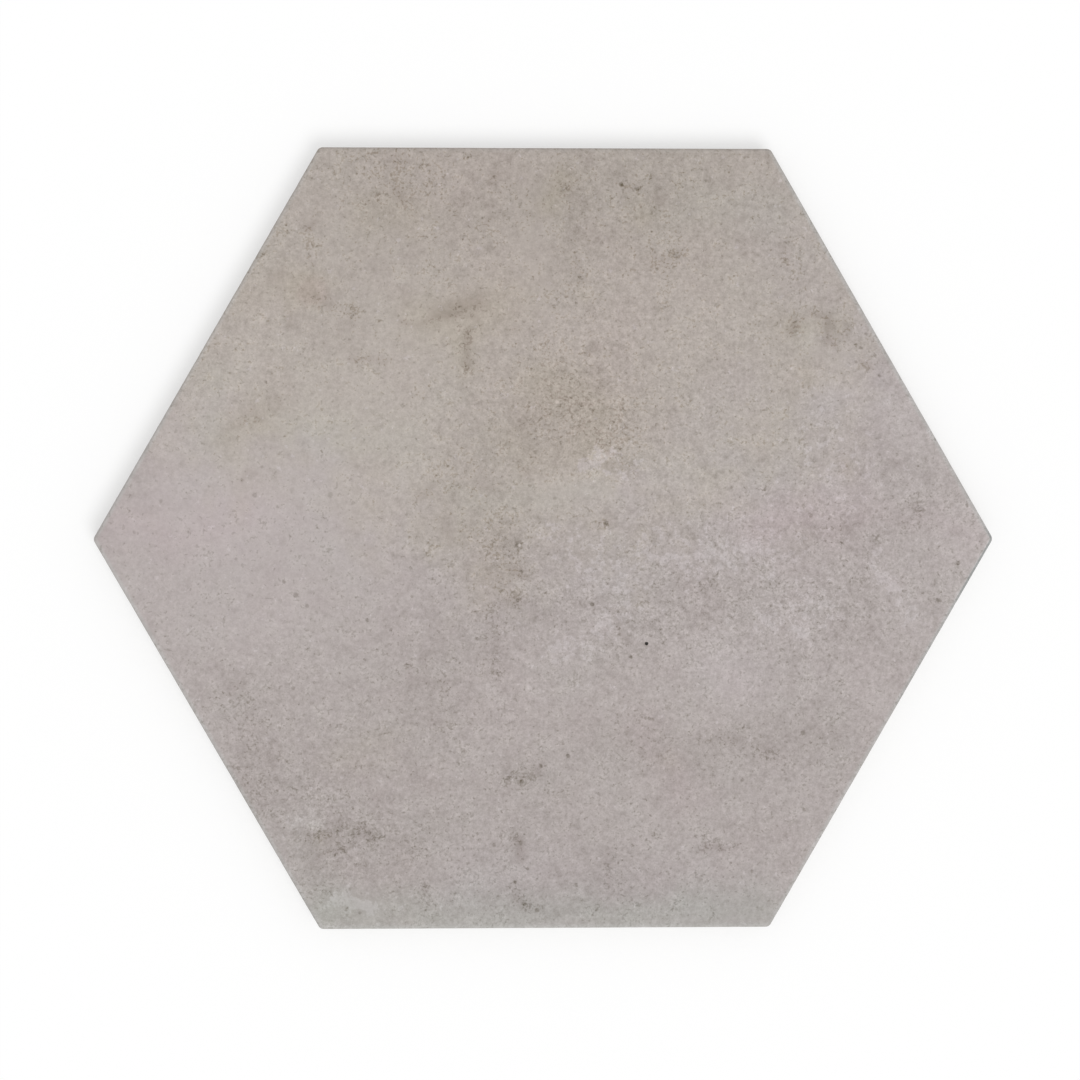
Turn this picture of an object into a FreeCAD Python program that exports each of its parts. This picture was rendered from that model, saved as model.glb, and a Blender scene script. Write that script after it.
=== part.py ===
# Hexagonal floor tile, dry-pressed and fired in one piece.
# It lies on its back: +X runs from the middle to a corner, +Y square to a side and +Z out of the
# face that is walked on. The origin is the middle of the back.
import FreeCAD, Part
import math
import os

import Sketcher

# Sizes in millimetres, and in degrees for the two drafts.
SIZES = [
    ("acrossFlats", 250.0, "between opposite sides of the face"),
    ("thickness", 9.0, "from the back to the face"),
    ("cornerRadius", 2.0, "rounding of the six corners in plan"),
    ("arrisRadius", 1.0, "rounding of the edge between face and wall"),
    ("footHeight", 5.0, "height of the tapered foot of the wall"),
    ("footDraft", 4.0, "taper of the foot, which frees the tile from its die"),
    ("backBevel", 0.4, "bevel round the back"),
    ("cellPitch", 23.0, "between the middles of neighbouring cells"),
    ("ribWidth", 4.0, "land between two cells, where it meets the bed"),
    ("cellDepth", 0.9, "depth of a cell"),
    ("cellDraft", 35.0, "lean of the walls of a cell"),
]

SIDES = 6
STEP = 2 * math.pi / SIDES


def add_sheet(document):
    """One row of the sheet for each size: what it is, its value and its alias."""
    sheet = document.addObject("Spreadsheet::Sheet", "sizes")
    for row, (alias, value, meaning) in enumerate(SIZES, start=1):
        sheet.set(f"A{row}", meaning)
        sheet.set(f"B{row}", str(value))
        sheet.setAlias(f"B{row}", alias)
    document.recompute()
    return sheet


def add_sketch(body, name, height):
    """An empty sketch parallel to the body's XY plane, at the given height."""
    sketch = body.newObject("Sketcher::SketchObject", name)
    plane = next(item for item in body.Origin.OriginFeatures if item.Role == "XY_Plane")
    sketch.AttachmentSupport = [(plane, "")]
    sketch.MapMode = "FlatFace"
    sketch.setExpression("AttachmentOffset.Base.z", height)
    return sketch


def drive(sketch, constraint, formula):
    """Adds a dimension and ties it to the sheet."""
    number = sketch.addConstraint(constraint)
    sketch.setExpression(f"Constraints[{number}]", formula)


def draw_hexagon(sketch, centre, first_corner, flats, formula):
    """Six equal lines with their ends on a construction circle, and the distance across two of them.

    Returns the numbers of the lines and of the circle. Line i runs from corner i to the next.
    """
    reach = flats / 2 / math.cos(STEP / 2)
    turns = [first_corner + corner * STEP for corner in range(SIDES)]
    corners = [centre + FreeCAD.Vector(math.cos(turn), math.sin(turn), 0) * reach for turn in turns]
    lines = []
    for corner in range(SIDES):
        side = Part.LineSegment(corners[corner], corners[(corner + 1) % SIDES])
        lines.append(sketch.addGeometry(side, False))
    circle = sketch.addGeometry(Part.Circle(centre, FreeCAD.Vector(0, 0, 1), reach), True)

    for corner in range(SIDES):
        following = lines[(corner + 1) % SIDES]
        sketch.addConstraint(Sketcher.Constraint("Coincident", lines[corner], 2, following, 1))
        sketch.addConstraint(Sketcher.Constraint("PointOnObject", lines[corner], 1, circle))
    for corner in range(1, SIDES):
        sketch.addConstraint(Sketcher.Constraint("Equal", lines[0], lines[corner]))
    drive(sketch, Sketcher.Constraint("Distance", lines[1], 1, lines[4], flats), formula)
    return lines, circle


def draw_outline(body, sheet):
    """The tile in plan, with a corner on +X, at the height where its foot begins to taper."""
    sketch = add_sketch(body, "outline", "sizes.footHeight")
    centre = FreeCAD.Vector(0, 0, 0)
    lines, circle = draw_hexagon(sketch, centre, 0, sheet.acrossFlats, "sizes.acrossFlats")
    sketch.addConstraint(Sketcher.Constraint("Coincident", circle, 3, -1, 1))
    sketch.addConstraint(Sketcher.Constraint("Horizontal", lines[1]))
    return sketch


def draw_cell(body, sheet):
    """The cell next to the middle one, on +X, and the direction of the rows that cross +X."""
    sketch = add_sketch(body, "cellOutline", "0 mm")
    centre = FreeCAD.Vector(sheet.cellPitch, 0, 0)
    flats = sheet.cellPitch - sheet.ribWidth
    lines, circle = draw_hexagon(sketch, centre, STEP / 2, flats, "sizes.cellPitch - sizes.ribWidth")
    sketch.addConstraint(Sketcher.Constraint("PointOnObject", circle, 3, -1))
    drive(sketch, Sketcher.Constraint("DistanceX", -1, 1, circle, 3, sheet.cellPitch), "sizes.cellPitch")
    sketch.addConstraint(Sketcher.Constraint("Vertical", lines[2]))

    tip = FreeCAD.Vector(math.cos(2 * STEP), math.sin(2 * STEP), 0) * sheet.cellPitch
    row = sketch.addGeometry(Part.LineSegment(FreeCAD.Vector(0, 0, 0), tip), True)
    sketch.addConstraint(Sketcher.Constraint("Coincident", row, 1, -1, 1))
    sketch.addConstraint(Sketcher.Constraint("Angle", -1, 1, row, 1, 2 * STEP))
    drive(sketch, Sketcher.Constraint("Distance", row, sheet.cellPitch), "sizes.cellPitch")
    return sketch


def level_face(feature, height):
    """The name of a feature's level face at a height."""
    for number, face in enumerate(feature.Shape.Faces, start=1):
        box = face.BoundBox
        if max(abs(box.ZMin - height), abs(box.ZMax - height)) < 1e-6:
            return f"Face{number}"
    raise ValueError(f"{feature.Name} has no level face at {height}")


def upright_edges(feature):
    """The names of a feature's upright edges."""
    edges = enumerate(feature.Shape.Edges, start=1)
    return [f"Edge{number}" for number, edge in edges if abs(edge.tangentAt(edge.FirstParameter).z) > 0.999]


def press_wall(body, sheet, outline):
    """The upright wall with its rounded corners, the tapered foot below it, the arris and the bevel."""
    wall = body.newObject("PartDesign::Pad", "wall")
    wall.Profile = outline
    wall.setExpression("Length", "sizes.thickness - sizes.footHeight")
    body.Document.recompute()

    corners = body.newObject("PartDesign::Fillet", "corners")
    corners.Base = (wall, upright_edges(wall))
    corners.setExpression("Radius", "sizes.cornerRadius")
    body.Document.recompute()

    foot = body.newObject("PartDesign::Pad", "foot")
    foot.Profile = (corners, [level_face(corners, sheet.footHeight)])
    foot.setExpression("Length", "sizes.footHeight")
    foot.setExpression("TaperAngle", "-sizes.footDraft")
    body.Document.recompute()

    arris = body.newObject("PartDesign::Fillet", "arris")
    arris.Base = (foot, [level_face(foot, sheet.thickness)])
    arris.setExpression("Radius", "sizes.arrisRadius")
    body.Document.recompute()

    bevel = body.newObject("PartDesign::Chamfer", "bevel")
    bevel.Base = (arris, [level_face(arris, 0)])
    bevel.setExpression("Size", "sizes.backBevel")
    body.Document.recompute()


def press_cells(body, cell_outline):
    """A honeycomb of cells round a plain middle: three lozenges of cells make a hexagon of rings.

    As many rings are pressed as leave a plain border of at least half a pitch.
    """
    before = body.Shape.Volume
    cell = body.newObject("PartDesign::Pocket", "cell")
    cell.Profile = cell_outline
    cell.Reversed = True
    cell.setExpression("Length", "sizes.cellDepth")
    cell.setExpression("TaperAngle", "-sizes.cellDraft")
    body.Document.recompute()
    if cell.Shape.Volume >= before:
        raise ValueError("the cell cut nothing out of the back")

    room = "(sizes.acrossFlats - sizes.cellPitch) / 2 - (sizes.cellPitch - sizes.ribWidth) / sqrt(3)"
    rings = f"floor(({room}) / (sizes.cellPitch * sqrt(3) / 2))"
    along = body.newObject("PartDesign::LinearPattern", "along")
    along.Direction = (cell_outline, ["H_Axis"])
    across = body.newObject("PartDesign::LinearPattern", "across")
    across.Direction = (cell_outline, ["Axis0"])
    for row, count in ((along, rings), (across, f"{rings} + 1")):
        row.Mode = "Spacing"
        row.setExpression("Offset", "sizes.cellPitch")
        row.setExpression("Occurrences", count)

    thirds = body.newObject("PartDesign::PolarPattern", "thirds")
    thirds.Axis = (cell_outline, ["N_Axis"])
    thirds.Occurrences = 3

    honeycomb = body.newObject("PartDesign::MultiTransform", "honeycomb")
    honeycomb.Originals = [cell]
    honeycomb.Transformations = [along, across, thirds]
    body.Tip = honeycomb
    body.Document.recompute()


def build_tile(document):
    sheet = add_sheet(document)
    tile = document.addObject("PartDesign::Body", "tile")
    tile.Label = "hexagon_tile"
    tile.Placement = FreeCAD.Placement()
    press_wall(tile, sheet, draw_outline(tile, sheet))
    press_cells(tile, draw_cell(tile, sheet))
    return tile


def check(document, tile):
    for item in document.Objects:
        if {"Invalid", "Error"} & set(item.State):
            raise ValueError(f"{item.Name} failed: {item.State}")
    shape = tile.Shape
    if shape.isNull() or not shape.isValid() or len(shape.Solids) != 1:
        raise ValueError(f"{tile.Label} is not one valid solid")


document = FreeCAD.newDocument("hexagon_floor_tile")
tile = build_tile(document)
check(document, tile)

os.makedirs("parts", exist_ok=True)
tile.Shape.exportStep(f"parts/{tile.Label}.step")
box = tile.Shape.optimalBoundingBox()
print(f"{tile.Label}: {box.XLength:.2f} x {box.YLength:.2f} x {box.ZLength:.2f} mm,"
      f" {tile.Shape.Volume / 1000:.1f} cm3, {len(tile.Shape.Faces)} faces")
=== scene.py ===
import math

import bpy
import numpy as np
from mathutils import Matrix, Vector


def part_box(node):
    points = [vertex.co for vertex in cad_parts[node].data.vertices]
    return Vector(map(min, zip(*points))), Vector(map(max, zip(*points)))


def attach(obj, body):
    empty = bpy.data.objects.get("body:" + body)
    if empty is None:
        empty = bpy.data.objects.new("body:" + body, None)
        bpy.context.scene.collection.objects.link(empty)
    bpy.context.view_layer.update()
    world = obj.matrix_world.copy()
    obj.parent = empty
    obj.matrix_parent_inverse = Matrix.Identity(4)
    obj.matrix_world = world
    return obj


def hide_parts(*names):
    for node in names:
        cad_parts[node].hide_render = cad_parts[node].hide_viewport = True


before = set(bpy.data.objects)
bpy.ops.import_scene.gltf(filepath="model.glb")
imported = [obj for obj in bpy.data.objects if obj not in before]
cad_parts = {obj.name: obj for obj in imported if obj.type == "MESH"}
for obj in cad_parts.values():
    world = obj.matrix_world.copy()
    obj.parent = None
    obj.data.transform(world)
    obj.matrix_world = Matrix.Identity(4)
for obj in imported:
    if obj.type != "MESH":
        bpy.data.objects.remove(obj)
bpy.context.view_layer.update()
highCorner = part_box("hexagon_tile")[1]
print("frame loaded")

view = {
    "lens": 100.0,                          # mm, for a sensor 36 mm wide
    "place": (-0.0349, 0.0187, 0.9688),
    "aim": (-0.0017, -0.0003, 0.0090),
}

studio = {
    "skyStrength": 0.66,
    "lampFrom": (0.30, -0.55, 1.0),         # the way to the soft lamp
    "lampSpread": 34.0,                     # degrees that the lamp spans
    "lampStrength": 1.26,                   # with the sky, a colour renders as it is written
    "floorReach": 3.0,
    "floorBounce": 0.80,                    # the floor's lightness as the tile sees it
    "floorGlow": 0.50,                      # share of the floor's white that shadows leave
}


def cameraAxes(values):
    # Looks along aim minus place. Right is forward x Y and up is right x forward, so +Y is up.
    place = Vector(values["place"])
    forward = (Vector(values["aim"]) - place).normalized()
    right = forward.cross(Vector((0, 1, 0))).normalized()
    return place, right, right.cross(forward), forward


def addCamera(values):
    place, right, up, forward = cameraAxes(values)
    lens = bpy.data.cameras.new("camera")
    lens.lens = values["lens"]
    lens.sensor_width = 36
    camera = bpy.data.objects.new("camera", lens)
    turn = Matrix((right, up, -forward)).transposed()
    camera.matrix_world = Matrix.Translation(place) @ turn.to_4x4()
    bpy.context.scene.collection.objects.link(camera)
    bpy.context.scene.camera = camera


class Wire:
    # A socket's value. Sums and products of wires and numbers add Math nodes.
    def __init__(self, finish, socket):
        self.finish = finish
        self.socket = socket

    def __add__(self, other):
        return self.finish.maths("ADD", self, other)

    def __radd__(self, other):
        return self.finish.maths("ADD", other, self)

    def __sub__(self, other):
        return self.finish.maths("SUBTRACT", self, other)

    def __rsub__(self, other):
        return self.finish.maths("SUBTRACT", other, self)

    def __mul__(self, other):
        return self.finish.maths("MULTIPLY", self, other)

    def __rmul__(self, other):
        return self.finish.maths("MULTIPLY", other, self)

    def step(self, low, high, start=0.0, end=1.0):
        # start at low and before, end at high and past it, and a smooth step between
        settings = {"interpolation_type": "SMOOTHSTEP"}
        sockets = {"Value": self, "From Min": low, "From Max": high, "To Min": start, "To Max": end}
        return self.finish.node("MapRange", settings, sockets)


class Finish:
    # The nodes of one material or of the sky.
    def __init__(self, owner):
        owner.use_nodes = True
        self.tree = owner.node_tree
        self.tree.nodes.clear()

    def node(self, kind, settings=None, sockets=None, output=0):
        made = self.tree.nodes.new("ShaderNode" + kind)
        for name, value in (settings or {}).items():
            setattr(made, name, value)
        for name, value in (sockets or {}).items():
            if isinstance(value, Wire):
                self.tree.links.new(value.socket, made.inputs[name])
            else:
                made.inputs[name].default_value = value
        return Wire(self, made.outputs[output]) if made.outputs else made

    def maths(self, operation, first, second):
        return self.node("Math", {"operation": operation}, {0: first, 1: second})

    def mixed(self, share, first, second):
        # Sockets 0, 6 and 7 are the factor and the two colours.
        return self.node("Mix", {"data_type": "RGBA"}, {0: share, 6: first, 7: second}, 2)

    def vectors(self, operation, first, second, output=0):
        # The factor of a scale is the last of the node's sockets.
        other = 3 if operation == "SCALE" else 1
        return self.node("VectorMath", {"operation": operation}, {0: first, other: second}, output)

    def noise(self, place, size, detail, roughness, seed):
        # Cloudy noise about 0, its largest lumps as wide as size in metres
        moved = self.vectors("ADD", place, (0.71 * seed, 0.37 * seed, 0.53 * seed))
        sockets = {"Vector": moved, "Scale": 1 / size, "Detail": detail, "Roughness": roughness}
        return self.node("TexNoise", {"noise_dimensions": "3D"}, sockets) - 0.5

    def seen(self):
        # 1 for what the camera sees directly, in a reflection or through glass
        rays = [self.node("LightPath", output=name) for name in
                ("Is Camera Ray", "Is Glossy Ray", "Is Transmission Ray")]
        return self.maths("MAXIMUM", self.maths("MAXIMUM", rays[0], rays[1]), rays[2])


def addStudio(values):
    scene = bpy.context.scene
    scene.view_settings.view_transform = "Standard"
    scene.world = bpy.data.worlds.new("sky")
    sky = Finish(scene.world)
    strength = values["skyStrength"] + sky.seen() * (1.0 - values["skyStrength"])
    light = sky.node("Background", None, {"Color": (1, 1, 1, 1), "Strength": strength})
    sky.node("OutputWorld", None, {"Surface": light})

    lamp = bpy.data.lights.new("softbox", "SUN")
    lamp.angle = math.radians(values["lampSpread"])
    lamp.energy = values["lampStrength"]
    softbox = bpy.data.objects.new("softbox", lamp)
    softbox.rotation_euler = Vector(values["lampFrom"]).to_track_quat("Z", "Y").to_euler()
    scene.collection.objects.link(softbox)

    reach = values["floorReach"]
    corners = [(-reach, -reach, 0), (reach, -reach, 0), (reach, reach, 0), (-reach, reach, 0)]
    mesh = bpy.data.meshes.new("floor")
    mesh.from_pydata(corners, [], [(0, 1, 2, 3)])
    floor = bpy.data.objects.new("floor", mesh)
    scene.collection.objects.link(floor)
    material = bpy.data.materials.new("paper")
    paper = Finish(material)
    seen = paper.seen()
    bounce = (values["floorBounce"],) * 3 + (1,)
    white = (1, 1, 1, 1)
    lit = paper.node("BsdfDiffuse", None, {"Color": paper.mixed(seen, bounce, white)})
    glow = paper.node("Emission", None, {"Color": white, "Strength": 1.0})
    surface = paper.node("MixShader", None, {0: seen * values["floorGlow"], 1: lit, 2: glow})
    paper.node("OutputMaterial", None, {"Surface": surface})
    mesh.materials.append(material)


addCamera(view)
addStudio(studio)
print("camera, light and floor set")

tile = {
    "netRings": 136,             # rings of the net over the face, and its spaces along each side
    "cornerSpaces": 3,           # spaces of the net on each half of a rounded corner
    "arris": 0.0010,
    "arrisSteps": 7,
    "footHeight": 0.0050,
    "footDraft": 4.0,            # degrees
    "bevel": 0.0004,
    "edgeFall": 0.00010,         # how far the face falls towards its arris
    "edgeFallWidth": 0.0040,
    "waves": ((0.045, 0.000030, 1), (0.013, 0.000012, 2), (0.0045, 0.000008, 3)),   # size, height, seed
    "nibbles": 0.00005,          # unevenness of the arris and the wall
    "cellPitch": 0.0230,
    "cellRings": 5,
    "ribWidth": 0.0040,
    "cellDepth": 0.0009,
    "cellDraft": 35.0,
    "cellCorner": 0.0018,
    "cellSpaces": 5,             # spaces along each side of a cell's mouth
    "cellSteps": (-0.35, -0.12, 0.1, 0.5, 0.9, 1.12, 1.4),  # shares of the cell wall's width
}

halfFlats = highCorner[1]
thickness = highCorner[2]
sixth = math.pi / 3
flare = 1 / math.cos(sixth / 2)
cornerRadius = (halfFlats * flare - highCorner[0]) / (flare - 1)


def outline(turns, halfWidth, radius, share):
    # Rounded hexagon. A turn's whole part is a corner, and its fraction runs along the side to the
    # next. The first and last share of a side follow half an arc about the corner's own middle.
    # Returns the points and their outward normals.
    corner = np.floor(turns)
    along = turns - corner
    bend = np.clip(along / share, 0, 1) + np.clip((along - 1 + share) / share, 0, 1)
    heading = (corner + bend / 2) * sixth
    normal = np.stack((np.cos(heading), np.sin(heading)), -1)
    across = np.clip((along - share) / (1 - 2 * share), 0, 1)[..., None]
    reach = (halfWidth - radius) * flare
    start = np.stack((np.cos(corner * sixth), np.sin(corner * sixth)), -1)
    end = np.stack((np.cos((corner + 1) * sixth), np.sin((corner + 1) * sixth)), -1)
    return reach * (start * (1 - across) + end * across) + radius * normal, normal


def cloud(x, y, size, seed):
    # Value noise from 0 to 1: random heights on a square grid, joined by smooth steps.
    count = 64
    heights = np.random.default_rng(seed).random((count, count))
    u = x / size + count / 2
    v = y / size + count / 2
    i = np.floor(u).astype(int)
    j = np.floor(v).astype(int)
    s = (u - i) ** 2 * (3 - 2 * (u - i))
    t = (v - j) ** 2 * (3 - 2 * (v - j))
    near = heights[i % count, j % count] * (1 - s) + heights[(i + 1) % count, j % count] * s
    far = heights[i % count, (j + 1) % count] * (1 - s) + heights[(i + 1) % count, (j + 1) % count] * s
    return near * (1 - t) + far * t


def faceNet(count):
    # Triangular net over a hexagon, as three lozenges (i, j) from the middle, each between two rings
    # of corners 120 degrees apart. Returns each point's share of the way out and its turn round the
    # outline, the triangles, and the points of the rim in order.
    i, j = np.meshgrid(np.arange(1, count + 1), np.arange(count + 1), indexing="ij")
    ring = np.maximum(i, j)
    along = np.where(i >= j, j / ring, 1 + (j - i) / ring)
    lozenge = np.arange(3)[:, None, None]
    share = np.concatenate(([0.0], np.broadcast_to(ring / count, (3, *ring.shape)).ravel()))
    turns = np.concatenate(([0.0], (2 * lozenge + along).ravel()))

    def number(third, i, j):
        inside = 1 + (third % 3 * count + i - 1) * (count + 1) + j
        edge = 1 + ((third + 1) % 3 * count + j - 1) * (count + 1)
        return np.where(i > 0, inside, np.where(j > 0, edge, 0))

    i, j = np.meshgrid(np.arange(count), np.arange(count), indexing="ij")
    a, b = number(lozenge, i, j), number(lozenge, i + 1, j)
    c, d = number(lozenge, i + 1, j + 1), number(lozenge, i, j + 1)
    triangles = np.stack((a, b, c, a, c, d), -1).reshape(-1, 3)
    steps = np.arange(count)
    third = np.arange(3)[:, None]
    rim = np.concatenate((number(third, np.full(count, count), steps),
                          number(third, count - steps, np.full(count, count))), 1).ravel()
    return share, turns % 6, triangles, rim


def ringFaces(rows):
    # Two triangles for each space of a closed strip, whose rows go down the wall.
    after = np.roll(rows, -1, axis=1)
    a, b, c, d = rows[:-1], rows[1:], after[1:], after[:-1]
    return np.stack((a, b, c, a, c, d), -1).reshape(-1, 3)


def stitch(points, outer, inner):
    # Joins two closed rows round the origin. Each space of one row makes a triangle with the point of
    # the other that is nearest in angle to the space's middle.
    full = 2 * math.pi

    def spaces(row):
        angle = np.arctan2(points[row, 1], points[row, 0]) % full
        order = np.argsort(angle)
        row, angle = row[order], angle[order]
        middle = (angle + (np.roll(angle, -1) - angle) % full / 2) % full
        order = np.argsort(middle)
        return row[order], np.roll(row, -1)[order], middle[order]

    outerStart, outerEnd, outerMiddle = spaces(outer)
    innerStart, innerEnd, innerMiddle = spaces(inner)
    apex = innerStart[np.searchsorted(innerMiddle, outerMiddle, "left") % len(inner)]
    foot = outerStart[np.searchsorted(outerMiddle, innerMiddle, "right") % len(outer)]
    fans = np.stack((apex, outerStart, outerEnd), 1)
    fills = np.stack((innerStart, foot, innerEnd), 1)
    return np.concatenate((fans, fills))


def wallProfile(values):
    # The wall's section from the face's rim down to the back, as insets from the outline and heights:
    # a quarter round, the upright wall, the drafted foot and a rounded bevel.
    arris, foot, bevel = values["arris"], values["footHeight"], values["bevel"]
    slope = math.tan(math.radians(values["footDraft"]))
    turn = np.linspace(0, math.pi / 2, values["arrisSteps"] + 1)[1:]
    fall = values["edgeFall"]
    rows = [(arris * (1 - math.sin(a)), thickness - arris + (arris - fall) * math.cos(a)) for a in turn]
    rows += [(0.0, foot + 0.0018), (0.0, foot + 0.0003), (slope * 0.0003, foot - 0.0003)]
    rows += [(slope * 0.0020, foot - 0.0020)]
    corner = slope * foot
    for share, lift in ((0.0, 1.6), (0.02, 1.1), (0.14, 0.86), (0.5, 0.5), (0.86, 0.14), (1.1, 0.0)):
        rows.append((corner + bevel * share - slope * bevel * lift, bevel * lift))
    return np.array(rows)


def cellUnit(values):
    # One cell inside its share of the land, as local points and triangles seen from above: the
    # hexagon where it meets its neighbours, then rings from the mouth to the floor and a middle point.
    pitch, rib, depth = values["cellPitch"], values["ribWidth"], values["cellDepth"]
    border = outline(np.arange(12) / 2, pitch / 2, 0.0, 0.25)[0]
    spaces = values["cellSpaces"]
    turns = np.arange(6 * spaces) / spaces
    mouth, normal = outline(turns, (pitch - rib) / 2, values["cellCorner"], 2 / spaces)
    width = depth * math.tan(math.radians(values["cellDraft"]))
    steps = np.array(values["cellSteps"])
    soft = 0.22

    def ramp(t):
        return (t + np.sqrt(t * t + soft * soft)) / 2

    lift = ramp(steps) - ramp(steps - 1)
    lift[0], lift[-1] = 0.0, 1.0
    rings = mouth[None] - normal[None] * (steps * width)[:, None, None]
    rings = np.concatenate((rings, rings[-1:] * 0.5))
    heights = np.append(lift, 1.0) * depth
    flat = np.concatenate((border, rings.reshape(-1, 2), [[0.0, 0.0]]))
    cos, sin = math.cos(sixth / 2), math.sin(sixth / 2)
    flat = flat @ np.array(((cos, sin), (-sin, cos)))
    z = np.concatenate((np.zeros(12), np.repeat(heights, len(turns)), [depth]))
    points = np.column_stack((flat, z))

    rows = 12 + np.arange(rings.shape[0] * len(turns)).reshape(rings.shape[0], -1)
    land = stitch(points, np.arange(12), rows[0])
    middle = np.full(len(turns), len(points) - 1)
    fan = np.stack((middle, rows[-1], np.roll(rows[-1], -1)), 1)
    return points, np.concatenate((land, ringFaces(rows)[:, ::-1], fan))


def cellMiddles(values):
    # Three lozenges of cells round a plain middle: q steps along one axis and r along the next but one.
    rings, pitch = values["cellRings"], values["cellPitch"]
    q, r, third = np.meshgrid(np.arange(1, rings + 1), np.arange(rings + 1), np.arange(3), indexing="ij")
    first = third * 2 * sixth
    second = first + 2 * sixth
    x = q * np.cos(first) + r * np.cos(second)
    y = q * np.sin(first) + r * np.sin(second)
    return np.column_stack((x.ravel(), y.ravel())) * pitch


def backFaces(values, firstNumber):
    # The honeycomb of cell units. Their shared hexagon points are merged, and a plain unit is in the
    # middle. Returns the points, the triangles and the numbers of the outer zigzag.
    unit, pattern = cellUnit(values)
    middles = cellMiddles(values)
    places = np.concatenate((middles, [[0.0, 0.0]]))
    shared = (unit[None, :12, :2] + places[:, None]).reshape(-1, 2)
    _, first, merged = np.unique(np.round(shared, 7), axis=0, return_index=True, return_inverse=True)
    merged = firstNumber + merged.reshape(-1, 12)
    sharedPoints = np.column_stack((shared[first], np.zeros(len(first))))

    own = unit[None, 12:] + np.column_stack((middles, np.zeros(len(middles))))[:, None]
    ownNumbers = firstNumber + len(first) + np.arange(own.shape[0] * own.shape[1]).reshape(own.shape[:2])
    numbers = np.concatenate((merged[:-1], ownNumbers), 1)
    cells = numbers[:, pattern].reshape(-1, 3)
    plain = firstNumber + len(first) + ownNumbers.size
    fan = np.stack((np.full(12, plain), merged[-1], np.roll(merged[-1], -1)), 1)

    edges = np.stack((merged, np.roll(merged, -1, 1)), -1).reshape(-1, 2)
    pairs, times = np.unique(np.sort(edges, 1), axis=0, return_counts=True)
    zigzag = np.unique(pairs[times == 1])
    points = np.concatenate((sharedPoints, own.reshape(-1, 3), [[0.0, 0.0, 0.0]]))
    return points, np.concatenate((cells, fan)), zigzag


def makeTile(values):
    # Face net, wall rings and honeycomb back in one closed mesh.
    count = values["netRings"]
    share = values["cornerSpaces"] / count
    out, turns, faceTriangles, rim = faceNet(count)
    edge, normal = outline(turns, halfFlats, cornerRadius, share)
    flat = out[:, None] * (edge - values["arris"] * normal)
    x, y = flat.T
    toRim = (1 - out) * (halfFlats - values["arris"])
    rounding = np.clip(1 - toRim / (values["edgeFallWidth"] - values["arris"]), 0, 1)
    relief = sum(height * cloud(x, y, size, seed) for size, height, seed in values["waves"])
    z = thickness - relief * (1 - rounding) - values["edgeFall"] * rounding ** 2
    points = [np.column_stack((x, y, z))]

    profile = wallProfile(values)
    rimTurns = np.arange(6 * count) / count
    rimEdge, rimNormal = outline(rimTurns, halfFlats, cornerRadius, share)
    wear = cloud(rimEdge[:, 0], rimEdge[:, 1], 0.0021, 4) ** 3 * values["nibbles"]
    rows = [rim]
    number = len(points[0])
    for inset, height in profile:
        worn = inset + wear * (0 < height < thickness)
        place = rimEdge - worn[:, None] * rimNormal
        points.append(np.column_stack((place, np.full(len(place), height))))
        rows.append(number + np.arange(len(place)))
        number += len(place)
    wall = ringFaces(np.array(rows))

    backPoints, backTriangles, zigzag = backFaces(values, number)
    points.append(backPoints)
    points = np.concatenate(points)
    border = stitch(points, rows[-1], zigzag)
    back = np.concatenate((backTriangles, border))[:, ::-1]
    return points, np.concatenate((faceTriangles, wall, back))


# The photograph, for placing the marks of the print. Its warm upper half ends along a soft border.
photograph = {
    "width": 1080,               # pixels
    "pixel": 0.0003203,          # metres of the face that one pixel spans
    "warmBelow": ((90, 425), (180, 432), (240, 466), (300, 485), (360, 490), (420, 530), (480, 595),
                  (540, 565), (600, 540), (660, 512), (720, 494), (780, 468), (840, 400), (900, 310)),
    "warmEdge": 110,             # pixels over which the warm half fades
    "warmth": 4.7,
    "ragged": ((80, 45, 7), (60, 16, 8)),   # the border's noise: pixels, lumps in pixels and seed
    "dotWobble": (1 / 900, 0.0009),         # the dots' noise: lumps and sway in metres
}

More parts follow.
